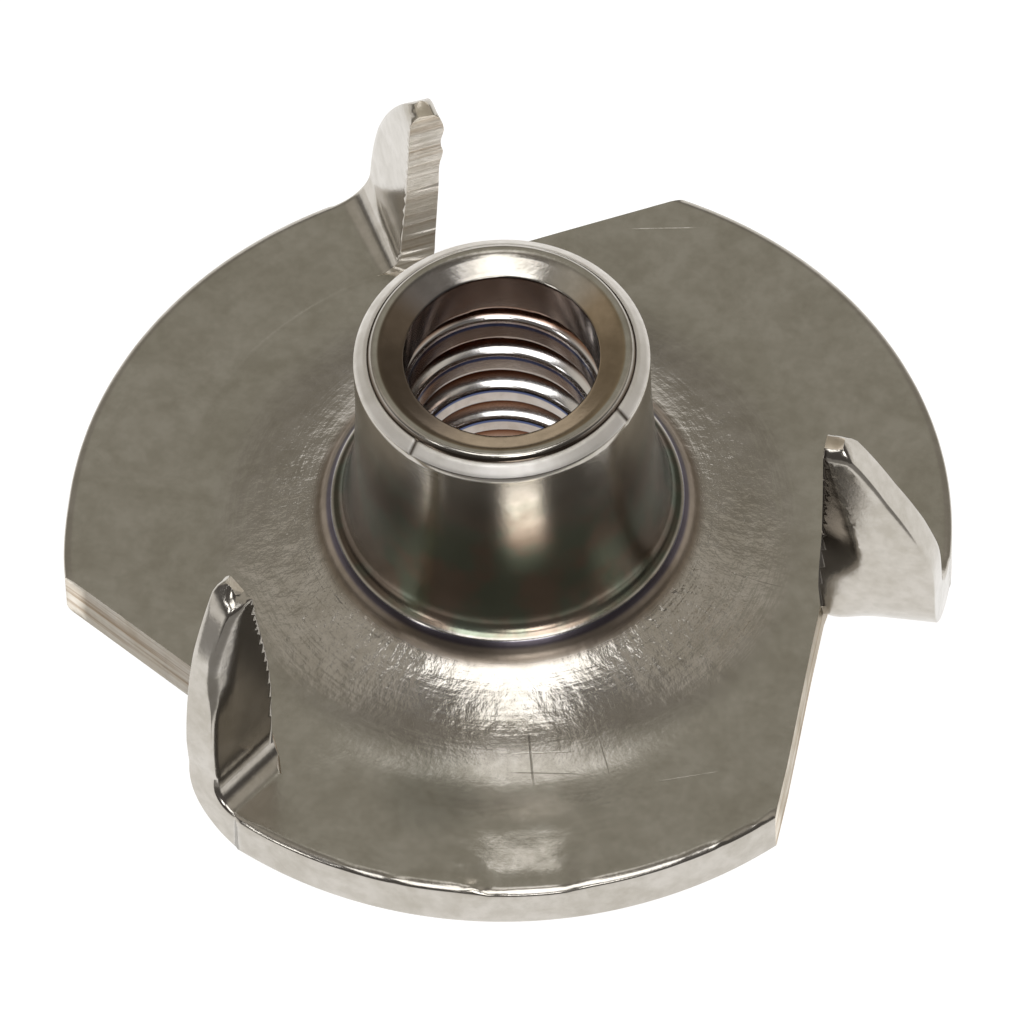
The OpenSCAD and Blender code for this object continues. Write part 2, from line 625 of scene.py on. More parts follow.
        # The cut ends at the hinge, within what slicing may be off
        end = self.start[0] + 1.5 * SNAP
        chord = [e for e in self.cut_edges(bm) if all(v.co.y < end for v in e.verts)]
        bmesh.ops.split_edges(bm, edges=chord)
        self.close_walls(bm)
        tip = -self.tip_y(flange)
        slice_faces(bm, self.faces(bm), (0, tip, 0), (0, -1, 0), clear=True)
        edges = (e for e in bm.edges if e.is_boundary)
        rim = [e for e in edges if all(abs(v.co.y - tip) < TOUCH for v in e.verts)]
        self.shear(bm, rim, self.number)

    def close_walls(self, bm: Mesh) -> None:
        """Closes the two walls that the lancing cut leaves.

        Args:
            bm: The mesh, with the cut split open.
        """
        flap = bm.faces.layers.int["flap"]
        chord = [e for e in self.cut_edges(bm) if e.is_boundary]
        ends = sorted({v for e in chord for v in e.verts}, key=lambda v: -v.co.y)[:2]
        joint = bm.edges.new(ends)
        for number in (0, self.number):
            side = [e for e in chord if (e.link_faces[0][flap] == self.number) == bool(number)]
            self.shear(bm, [*side, joint], number)

    def divide(self, bm: Mesh, flange: Flange) -> None:
        """Divides the flap along its fold, up its length and at its creases.

        Args:
            bm: The mesh, with the flap lanced.
            flange: The flange that the flap is cut from.
        """
        start = self.start[0]
        length = (start - self.face_y + flange.t / 2) * math.radians(90 + self.lean)
        rest = self.tip_y(flange) + start - length
        fold_parts, parts = self.parts
        places = [start - length * k / fold_parts for k in range(1, fold_parts + 1)]
        places += [start - length - rest * k / parts for k in range(1, parts)]
        for place in places:
            slice_faces(bm, self.faces(bm), (0, place, 0), (0, 1, 0))
        for crease in self.creases:
            ends = []
            for x, z in (crease.low, crease.high):
                flat = start - length - (z - flange.t - start + self.face_y) / self.stretch
                ends.append(Vector((x - read(self.inner, z), flat, 0)))
            along = ends[1] - ends[0]
            slice_faces(bm, self.faces(bm), ends[0], (-along.y, along.x, 0))

    def fold(self, bm: Mesh, flange: Flange) -> None:
        """Turns the flap up and draws the flange's cut edge to its shape.

        Args:
            bm: The mesh, with the flap lanced and divided.
            flange: The flange that the flap is cut from.
        """
        mine = {v for f in self.faces(bm) for v in f.verts}
        # The flange beside the cut: its least x, most y and most z
        near, over, high = self.cut_x - self.notch_run[1], 2.0, flange.t + 0.01
        for v in bm.verts:
            if v in mine:
                v.co = self.bent(v.co, flange)
            elif v.co.x > near and v.co.y < over and v.co.z < high:
                v.co = self.shifted(v.co, flange)


@dataclass(frozen=True)
class PressMarks:
    """The marks that the press leaves in the sheet and on the bevel."""

    # Share, scale and layer of noise of each wave
    waves: tuple[tuple[float, ...], ...] = ((1.0, 0.28, 3.0), (0.45, 0.7, 9.0))
    waves_r: Pair = (5.2, 7.5)  # radii between which the waves set in
    waves_h: float = 0.014
    patch_turn: float = -76.4  # the pressed patch's place round the axis
    patch_r: Pair = (7.8, 1.2)  # radius at which it starts, and its width
    patch_curve: float = 1.3  # power by which it deepens outwards
    patch_side: Pair = (0.6, 1.6)  # distances from its middle where it ends
    patch_z: Pair = (0.9, 1.1)  # heights between which it sets in
    patch_depth: float = 0.098
    stray: tuple[float, ...] = (0.1, 3.5, 3.0)  # of its edge: size, scale, more at its sides
    burr: Pair = (0.05, 0.065)  # height and spread
    burr_near: float = 0.3  # how far a burr reaches at most
    burr_z: float = 0.95  # the sheet carries burrs above it
    notch: float = 0.02  # depth of a break in the bevel
    notch_side: Pair = (0.02, 0.06)  # distances from its middle where it ends
    notch_past: Pair = (0.02, 0.03)  # how far it goes below the bevel and inside it
    clear: float = 0.3  # reach from the underside and from the flange's top

    def wave(self, place: Vector) -> float:
        """Height of the sheet's waves.

        Args:
            place: Where it is read.

        Returns:
            The height, above the even sheet.
        """
        total = 0.0
        for share, scale, layer in self.waves:
            total += share * noise.noise(Vector((place.x, place.y, layer)) * scale)
        return self.waves_h * ramp(place.xy.length, *self.waves_r) * total

    def press(self, place: Vector) -> float:
        """Depth of the pressed patch.

        Args:
            place: Where it is read.

        Returns:
            The depth, 0 outside the patch.
        """
        size, scale, more = self.stray
        r = place.xy.length
        side = abs(math.atan2(place.y, place.x) - math.radians(self.patch_turn)) * r
        edge = size * noise.noise(Vector((place.x * scale, place.y * scale, 1.0)))
        start, width = self.patch_r
        out = min(1.0, max(0.0, (r - start + edge) / width)) ** self.patch_curve
        out *= 1 - ramp(side + more * edge, *self.patch_side)
        return self.patch_depth * out * ramp(place.z, *self.patch_z)

    def break_bevel(self, place: Vector, barrel: Barrel) -> float:
        """Depth of the breaks in the barrel's bevel.

        Args:
            place: Where it is read.
            barrel: The barrel.

        Returns:
            The depth, 0 outside the breaks.
        """
        r, total = place.xy.length, 0.0
        low, inside = self.notch_past
        if place.z > barrel.bevel_z - low and r > barrel.radius - barrel.bevel[0] - inside:
            for at in barrel.breaks:
                away = abs(math.atan2(place.y, place.x) - math.radians(at)) * r
                total += self.notch * (1 - ramp(away, *self.notch_side))
        return total

    def raise_burr(self, place: Vector, x: float, y: float) -> float:
        """Height of one burr.

        Args:
            place: Where it is read.
            x: Place of the burr's middle along the first prong's fold.
            y: The same across that fold.

        Returns:
            The height, 0 away from the burr.
        """
        away = math.hypot(place.x - x, place.y - y)
        if away >= self.burr_near or place.z <= self.burr_z:
            return 0.0
        height, spread = self.burr
        return height * math.exp(-((away / spread) ** 2))


@dataclass
class StampedNut:
    """The whole piece."""

    flange: Flange
    barrel: Barrel
    bore: Bore
    prongs: tuple[Prong, ...]
    marks: PressMarks = PressMarks()
    steps: int = 360  # divisions of the blank round the axis
    eased: Pair = (0.022, 24.0)  # cut off its section's corners, past that angle
    join_r: float = 2.45  # where its mesh meets the thread's, in the entry
    gaps: Pair = (0.03, 0.05)  # between the two meshes, there and in the mouth
    sharp: float = 50.0  # angle past which an edge is rounded
    speck: float = 0.012  # length up to which it isn't
    round_r: float = 0.025  # width of that rounding
    tip_r: float = 0.1  # the same at the prongs' tips
    tip_z: float = 6.1  # height above which a level face is a tip
    level: float = 0.7  # least rise of a level face's normal

    def section(self) -> Section:
        """Draws the blank's half section.

        Returns:
            The section, from inside the entry round to the mouth.
        """
        bore, barrel, flange = self.bore, self.barrel, self.flange
        entry = bore.radius + bore.entry_r
        side = math.degrees(math.acos((entry - self.join_r) / bore.entry_r))
        pen = Section()
        drop = math.sin(math.radians(side)) * bore.entry_r
        pen.line(self.join_r, bore.entry_r - drop)
        pen.arc((entry, bore.entry_r), bore.entry_r, 180 + side, 270, steps=7)
        flange.draw(pen, barrel.radius + barrel.flare[0][1])
        barrel.draw(pen, flange.t + flange.shoulder_h)
        return pen

    def spin_blank(self, bm: Mesh) -> None:
        """Spins the half section into the blank.

        Args:
            bm: The mesh that the blank goes in.
        """
        barrel = self.barrel
        spin_points(bm, self.section().eased(*self.eased), self.steps)
        inside, mouth = barrel.radius - barrel.bevel[0], barrel.mouth[0] + SNAP
        for f in bm.faces:
            c = f.calc_center_median()
            if c.z > barrel.bevel_z and c.xy.length > inside:
                f.material_index = Skin.FACED.value
            elif c.z > barrel.top / 2 and c.xy.length < mouth:
                f.material_index = Skin.TAPPED.value

    def tap(self, bm: Mesh) -> None:
        """Cuts the thread and joins it to the blank at both ends.

        Args:
            bm: The mesh that holds the spun blank.
        """
        bore, barrel = self.bore, self.barrel
        old = set(bm.verts)
        rise = bore.pitch / bore.rows
        count = (math.ceil(barrel.top / bore.pitch) + 2) * bore.rows
        profile = [
            (bore.groove_r(k / bore.rows + bore.phase), rise * k - bore.below)
            for k in range(count + 1)
        ]
        spin_points(bm, profile, bore.steps, climb=bore.pitch)
        made = [v for v in bm.verts if v not in old]
        bmesh.ops.remove_doubles(bm, verts=made, dist=TOUCH)
        in_entry = bore.radius + bore.entry_r - self.join_r + self.gaps[0]
        low = bore.entry_r - math.sqrt(bore.entry_r**2 - in_entry**2)
        high = barrel.stop_z - self.gaps[1]
        for z in (bore.entry_r, bore.widens[0], bore.runs_out[1]):
            slice_faces(bm, self.apart(bm, old), (0, 0, z), UP)
        slice_faces(bm, self.apart(bm, old), (0, 0, high), UP, clear=True)
        slice_faces(bm, self.apart(bm, old), (0, 0, low), (0, 0, -1), clear=True)
        for v in (v for v in bm.verts if v not in old):
            r = v.co.xy.length
            new = bore.cut_r(r, v.co.z, barrel.mouth[0])
            v.co.x, v.co.y = v.co.x * new / r, v.co.y * new / r
        for f in self.apart(bm, old):
            f.material_index = Skin.TAPPED.value
        open_edges = [e for e in bm.edges if e.is_boundary]
        for upper in (False, True):
            pair = [e for e in open_edges if (e.verts[0].co.z > barrel.top / 2) == upper]
            for f in bmesh.ops.bridge_loops(bm, edges=pair)["faces"]:
                f.material_index = Skin.TAPPED.value

    @staticmethod
    def apart(bm: Mesh, old: set[bmesh.types.BMVert]) -> list[Face]:
        """The faces that have no vertex of an older part of the mesh."""
        return [f for f in bm.faces if not any(v in old for v in f.verts)]

    def raise_prongs(self, bm: Mesh) -> None:
        """Lances and folds each prong in its own place.

        Args:
            bm: The tapped blank.
        """
        bm.faces.layers.int.new("flap")
        for prong in self.prongs:
            for way, work in ((-1, (prong.lance, prong.divide, prong.fold)), (1, ())):
                spin = Matrix.Rotation(way * math.radians(prong.turn), 3, "Z")
                bmesh.ops.rotate(bm, cent=ORIGIN, matrix=spin, verts=bm.verts[:])
                for step in work:
                    step(bm, self.flange)

    def ease_edges(self, bm: Mesh) -> None:
        """Rounds the corners that lancing leaves, the tips' more than the rest.

        Args:
            bm: The mesh, with its prongs raised.
        """
        for width, parts, tips in ((self.tip_r, 3, True), (self.round_r, 2, False)):
            crisp = set()
            for f in [f for f in bm.faces if f.material_index == Skin.SHEARED.value]:
                high = f.calc_center_median().z > self.tip_z
                if tips and not (high and abs(f.normal.z) > self.level):
                    continue
                for e in f.edges:
                    if len(e.link_faces) != 2 or e.calc_length() <= self.speck:
                        continue
                    if e.calc_face_angle(0) > math.radians(self.sharp):
                        crisp.add(e)
            bmesh.ops.bevel(
                bm,
                geom=list(crisp),
                offset=width,
                offset_type="OFFSET",
                affect="EDGES",
                segments=parts,
                profile=0.5,
                material=-1,
                clamp_overlap=True,
            )

    def settle(self, bm: Mesh) -> None:
        """Gives the sheet the marks that the press leaves.

        Args:
            bm: The finished form, still in millimetres.
        """
        marks, top = self.marks, self.flange.t
        burrs = [
            (r * math.cos(math.radians(a)), r * math.sin(math.radians(a)))
            for a, r in self.flange.burrs
        ]
        for v in bm.verts:
            v.co.z -= marks.break_bevel(v.co, self.barrel)
            if v.co.z > top + marks.clear or v.co.z < marks.clear:
                continue
            v.co.z += marks.wave(v.co)
            v.co.z -= marks.press(v.co)
            for x, y in burrs:
                v.co.z += marks.raise_burr(v.co, x, y)

    def build(self) -> bpy.types.Object:
        """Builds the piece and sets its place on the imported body.

        Returns:
            The finished object, in metres.
        """
        bm = bmesh.new()
        self.spin_blank(bm)
        self.tap(bm)
        bmesh.ops.recalc_face_normals(bm, faces=bm.faces[:])
        self.raise_prongs(bm)
        bmesh.ops.recalc_face_normals(bm, faces=bm.faces[:])
        self.ease_edges(bm)
        self.settle(bm)
        bmesh.ops.triangulate(bm, faces=[f for f in bm.faces if len(f.verts) > 4])
        bmesh.ops.recalc_face_normals(bm, faces=bm.faces[:])
        LOG.info("open edges %d", sum(not e.is_manifold for e in bm.edges))
        bmesh.ops.scale(bm, vec=(MM, MM, MM), verts=bm.verts[:])
        mesh = bpy.data.meshes.new(PIECE)
        bm.to_mesh(mesh)
        bm.free()
        mesh.shade_smooth()
        piece = bpy.data.objects.new(PIECE, mesh)
        bpy.context.scene.collection.objects.link(piece)
        hold = piece.modifiers.new("even_normals", "WEIGHTED_NORMAL")
        hold.mode = "FACE_AREA_WITH_ANGLE"
        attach(piece, "root")
        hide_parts("tee_nut")
        return piece


# ----------------------------------------------------------------- finishes


class Wiring:
    """Adds nodes to a node tree and links them."""

    def __init__(self, tree: bpy.types.NodeTree) -> None:
        """Takes the tree to work in."""
        self.tree = tree

    def add(self, kind: str, sources: dict | None = None, **settings: object) -> Node:
        """Adds one node.

        Args:
            kind: Blender's name for its type.
            sources: What goes in each input: a socket to link, or a value.
            settings: Properties of the node.

        Returns:
            The node.
        """
        node = self.tree.nodes.new(kind)
        for name, value in settings.items():
            setattr(node, name, value)
        self.link(node, sources or {})
        return node

    def link(self, node: Node, sources: dict) -> None:
        """Links sockets to a node's inputs, or sets their values.

        Args:
            node: The node.
            sources: What goes in each input: a socket to link, or a value.
        """
        for key, value in sources.items():
            if isinstance(value, Socket):
                self.tree.links.new(value, node.inputs[key])
            else:
                node.inputs[key].default_value = value

    def math(self, operation: str, *values: Source) -> Socket:
        """Adds a Math node and returns its value."""
        return self.add("ShaderNodeMath", dict(enumerate(values)), operation=operation).outputs[0]

    def product(self, *values: Source) -> Socket:
        """Multiplies values, from left to right.

        Args:
            values: Sockets or numbers, a socket first.

        Returns:
            Their product.
        """
        total, *rest = values
        for value in rest:
            total = self.math("MULTIPLY", total, value)
        return total

    def vector(self, operation: str, sources: dict) -> Sequence[Socket]:
        """Adds a Vector Math node and returns its outputs."""
        return self.add("ShaderNodeVectorMath", sources, operation=operation).outputs

    def span(
        self, value: Source, low: float, high: float, start: float = 0.0, end: float = 1.0
    ) -> Socket:
        """Adds a smooth Map Range node.

        Args:
            value: What is mapped.
            low: Where the result is `start`.
            high: Where it is `end`.
            start: Result at `low`.
            end: Result at `high`.

        Returns:
            The mapped value.
        """
        node = self.add(
            "ShaderNodeMapRange",
            {"Value": value, "From Min": low, "From Max": high, "To Min": start, "To Max": end},
            interpolation_type="SMOOTHSTEP",
        )
        return node.outputs["Result"]

    def window(self, value: Source, rise: Pair, fall: Pair) -> Socket:
        """Mask of the values between a rising span and a falling one."""
        return self.product(self.span(value, *rise), self.span(value, *fall))

    def blend(
        self, share: Source, a: Socket | Colour, b: Socket | Colour, way: str = "MIX"
    ) -> Socket:
        """Mixes two colours.

        Args:
            share: Share of the second.
            a: The first colour.
            b: The second colour.
            way: Blend type.

        Returns:
            The mixed colour.
        """
        a, b = (c if isinstance(c, Socket) else (*c, 1) for c in (a, b))
        mix = self.add("ShaderNodeMix", {0: share, 6: a, 7: b}, data_type="RGBA", blend_type=way)
        return mix.outputs[2]

    def darken(self, mask: Source, colour: Socket, tint: Socket | Colour) -> Socket:
        """Multiplies a colour by a tint where a mask says so."""
        return self.blend(mask, colour, self.blend(1.0, colour, tint, "MULTIPLY"))

    def noise(
        self, vector: Socket, scale: Source, detail: float, rough: float, twist: float = 0.0
    ) -> Socket:
        """Adds a Noise Texture node.

        Args:
            vector: Where the noise is read.
            scale: Its scale.
            detail: Octaves added to it.
            rough: Strength of each against the one before.
            twist: How far it is distorted.

        Returns:
            Its value.
        """
        node = self.add(
            "ShaderNodeTexNoise",
            {
                "Vector": vector,
                "Scale": scale,
                "Detail": detail,
                "Roughness": rough,
                "Distortion": twist,
            },
        )
        return node.outputs["Fac"]


class Groups:
    """The effects that more than one finish uses, each built once."""

    def __init__(self) -> None:
        """Builds every group."""
        self.grain = self.make_grain()
        self.round_axis = self.make_round_axis()

    @staticmethod
    def begin(
        name: str, inputs: dict[str, float | None], outputs: str
    ) -> tuple[Wiring, Node, Node]:
        """Starts a node group with its sockets.

        Args:
            name: The group's name.
            inputs: Default of each input, or None for a vector.
            outputs: The outputs' names; one that ends in * is a vector.

        Returns:
            The group's wiring, its input node and its output node.
        """
        group = bpy.data.node_groups.new(name, "ShaderNodeTree")
        for key, value in inputs.items():
            kind = "NodeSocketVector" if value is None else "NodeSocketFloat"
            socket = group.interface.new_socket(key, in_out="INPUT", socket_type=kind)
            if value is not None:
                socket.default_value = value
        for key in outputs.split():
            kind = "NodeSocketVector" if key.endswith("*") else "NodeSocketFloat"
            group.interface.new_socket(key.rstrip("*"), in_out="OUTPUT", socket_type=kind)
        w = Wiring(group)
        return w, w.add("NodeGroupInput"), w.add("NodeGroupOutput")

    def make_round_axis(self) -> bpy.types.NodeTree:
        """Place on the piece in millimetres, and round its axis.

        Returns:
            A group that gives the place, the radius, the angle in turns, the
            height, and the level direction away from the axis.
        """
        w, _, out = self.begin("place_round_axis", {}, "Place* Radius Angle Height Way*")
        where = w.add("ShaderNodeTexCoord").outputs["Object"]
        place = w.vector("SCALE", {0: where, "Scale": 1 / MM})["Vector"]
        x, y, z = w.add("ShaderNodeSeparateXYZ", {0: place}).outputs
        radius = w.math("SQRT", w.math("ADD", w.product(x, x), w.product(y, y)))
        angle = w.math("DIVIDE", w.math("ARCTAN2", y, x), TURN)
        flat = w.add("ShaderNodeCombineXYZ", {"X": x, "Y": y, "Z": 0.0}).outputs[0]
        way = w.vector("NORMALIZE", {0: flat})["Vector"]
        w.link(out, {"Place": place, "Radius": radius, "Angle": angle, "Height": z, "Way": way})
        return w.tree

    def make_grain(self) -> bpy.types.NodeTree:
        """Fine grain of rolled and tumbled steel.

        Returns:
            A group that gives the grain's height, slow stains and clouds.
        """
        inputs = {"Place": None, "Grain Scale": 16.0, "Stain Scale": 0.7}
        w, given, out = self.begin("steel_grain", inputs, "Grain Stain Cloud")
        place, fine, slow = (given.outputs[key] for key in inputs)
        grain = w.noise(place, fine, detail=2.0, rough=0.6)
        stain = w.noise(place, slow, detail=4.0, rough=0.6, twist=0.6)
        cloud = w.noise(place, w.product(slow, 4.3), detail=3.0, rough=0.55)
        w.link(out, {"Grain": grain, "Stain": stain, "Cloud": cloud})
        return w.tree


@dataclass(frozen=True)
class Mark:
    """One straight mark: on the flange a scratch, on the barrel's top bevel a patch of painted
    shade in one of its breaks.
    """

    middle: Pair
    turn: float
    size: Pair  # half its length and half its width
    depth: float
    tint: float  # how much it darkens the steel

    def mask(self, w: Wiring, place: Socket) -> Socket:
        """Adds the mark's mask to a material.

        Args:
            w: The material's wiring.
            place: The place on the piece.

        Returns:
            The mask, 1 along its middle line.
        """
        moved = w.vector("SUBTRACT", {0: place, 1: (*self.middle, 0.0)})["Vector"]
        turned = w.add(
            "ShaderNodeVectorRotate",
            {"Vector": moved, "Angle": -math.radians(self.turn)},
            rotation_type="Z_AXIS",
        ).outputs[0]
        parts = w.add("ShaderNodeSeparateXYZ", {0: turned}).outputs
        long, wide = self.size
        along = w.span(w.math("ABSOLUTE", parts["X"]), long, long * 0.6)
        return w.product(along, w.span(w.math("ABSOLUTE", parts["Y"]), wide, 0.0))


class Measure(Enum):
    """What the edges of a zone are measured by, in millimetres or cosines."""

    RADIUS = "distance from the axis"
    HEIGHT = "height above the underside"
    X = "place along the first prong's fold"
    Y = "place across that fold"
    SLANT = "place along it, carried down the crease above it"
    BESIDE = "closeness to the left or the right"
    FAR = "closeness to the far side"
    LEFT = "closeness to the left"
    SPOT = "distance from a stain on the shoulder's foot"


Edge = tuple[Measure, float, float]


@dataclass(frozen=True)
class ShadeAndStainZone:
    """A part of the drawn surface whose colour is tinted: painted shade and painted reflections,
    and one stain.
    """

    tints: tuple[Colour, ...]  # what its colour is multiplied by; two in patches
    edges: tuple[Edge, ...]  # measures, with their values where it ends and is full
    share: float = 1.0  # how much of the tint it takes
    rough: float = 0.0  # how much rougher it is


WALL: tuple[Edge, ...] = (
    (Measure.RADIUS, 3.76, 3.7),
    (Measure.HEIGHT, 6.7, 4.6),
    (Measure.RADIUS, 2.95, 3.1),
)
TOP: Edge = (Measure.HEIGHT, 7.0, 7.2)
LAND: tuple[Edge, ...] = ((Measure.RADIUS, 2.66, 2.6), TOP)
# Painted shade and painted reflections on the barrel, its ledge, its top and the first prong, and
# one stain on the shoulder's foot
SHADE_AND_STAIN_ZONES = {
    # Painted reflections, warm and greenish in patches, and painted shade darkening the wall
    # towards its foot
    "barrel's painted reflections": ShadeAndStainZone(((0.82, 0.69, 0.6), (0.62, 0.74, 0.63)), WALL, rough=0.06),
    # Painted shade on the barrel's wall towards its left and right sides
    "barrel's painted side shade": ShadeAndStainZone(((0.27, 0.27, 0.27),), (*WALL, (Measure.BESIDE, 0.4, 0.85))),
    # Painted shade: a brown band of dark reflection on the bevel below the ledge, which is also
    # rougher there
    "ledge's painted dark reflection": ShadeAndStainZone(
        ((0.5, 0.44, 0.39),),
        ((Measure.RADIUS, 3.78, 3.81), (Measure.RADIUS, 4.3, 4.05)),
        rough=0.16,
    ),
    # Painted shadow: a thin bluish dark line along the top of that bevel
    "ledge's painted shadow line": ShadeAndStainZone(
        ((0.35, 0.36, 0.52),), ((Measure.RADIUS, 3.77, 3.8), (Measure.RADIUS, 3.93, 3.86))
    ),
    # Painted reflection: the dark blade on the first prong's outer face, on the facet past its
    # crease, above mid height
    "first prong's painted dark reflection": ShadeAndStainZone(
        ((0.3, 0.28, 0.26),),
        (
            (Measure.SLANT, 7.78, 7.7),
            (Measure.HEIGHT, 3.0, 3.8),
            (Measure.X, 6.9, 7.0),
            (Measure.Y, -0.45, -0.6),
        ),
    ),
    # Painted reflection: a warm tint on the near side of the barrel's top land
    "near land's painted warm reflection": ShadeAndStainZone(((0.72, 0.6, 0.46),), (*LAND, (Measure.FAR, 0.8, 0.45))),
    # Painted shade on the left side of the top land
    "left land's painted shade": ShadeAndStainZone(((0.42, 0.42, 0.46),), (*LAND, (Measure.LEFT, 0.1, 0.75))),
    # Painted shade in the crease between the top's bevel and its ridge
    "top's painted crease shade": ShadeAndStainZone(
        ((0.25, 0.21, 0.18),), ((Measure.RADIUS, 2.77, 2.82), (Measure.RADIUS, 2.9, 2.86), TOP)
    ),
    "stain": ShadeAndStainZone(((0.55, 0.56, 0.54),), ((Measure.SPOT, 1.5, 0.4),), share=0.6),
}


@dataclass(frozen=True)
class DrawMarks:
    """The radial and circular marks that drawing leaves, and the die's ring."""

    height: float = 0.056
    rays: Pair = (15.0, 2.4)  # scale of the radial marks round the axis and outwards
    rings: Pair = (2.2, 9.0)  # the same of the circular marks
    rings_share: float = 0.35  # their height against that of the radial ones
    radii: tuple[Pair, Pair] = ((3.95, 4.2), (6.6, 5.0))  # where the marks come and go
    stray: float = 0.04  # how much of them is left elsewhere
    high: Pair = (2.6, 2.2)  # heights at which they end and are full
    front: float = 0.2122  # turns by which the front lies before the first prong
    # Turns from the front at which they are faint and full, and how faint, at
    # the front and at the far side
    faint: tuple[tuple[float, ...], ...] = ((0.06, 0.17, 0.22), (0.4, 0.27, 0.25))
    die: tuple[Pair, Pair] = ((7.19, 7.27), (7.35, 7.27))  # radii of its ring's two sides
    die_turns: Pair = (0.28, 0.42)  # turns round the axis at which it ends and is full
    die_depth: float = 0.006

    def relief(self, w: Wiring, axis: Sequence[Socket]) -> Socket:
        """Adds the marks to a material.

        Args:
            w: The material's wiring.
            axis: The place round the axis.

        Returns:
            Their height in millimetres.
        """
        radius, angle = axis["Radius"], axis["Angle"]

        def polar(scale: float, stretch: float) -> Socket:
            """Coordinates with one scale round the axis and one outwards.

            Args:
                scale: Scale round the axis.
                stretch: Scale outwards.

            Returns:
                The coordinates.
            """
            spread = w.vector("SCALE", {0: axis["Way"], "Scale": scale})["Vector"]
            lift = w.add("ShaderNodeCombineXYZ", {"Z": w.product(radius, stretch)}).outputs[0]
            return w.vector("ADD", {0: spread, 1: lift})["Vector"]

        rays = w.noise(polar(*self.rays), 1.0, detail=4.0, rough=0.6)
        rings = w.noise(polar(*self.rings), 1.0, detail=2.0, rough=0.5)
        both = w.math("ADD", rays, w.product(rings, self.rings_share))
        turned = w.math("FRACT", w.math("ADD", angle, self.front + 0.5))
        away = w.math("ABSOLUTE", w.math("SUBTRACT", turned, 0.5))
        near = w.window(radius, *self.radii)
        for faint in self.faint:
            near = w.product(near, w.span(away, *faint))
        share = w.math("ADD", w.product(near, 1 - self.stray), self.stray)
        low = w.span(axis["Height"], *self.high)
        marks = w.product(both, share, low, self.height)
        ring = w.product(w.window(radius, *self.die), w.span(angle, *self.die_turns))
        return w.math("SUBTRACT", marks, w.product(ring, self.die_depth))


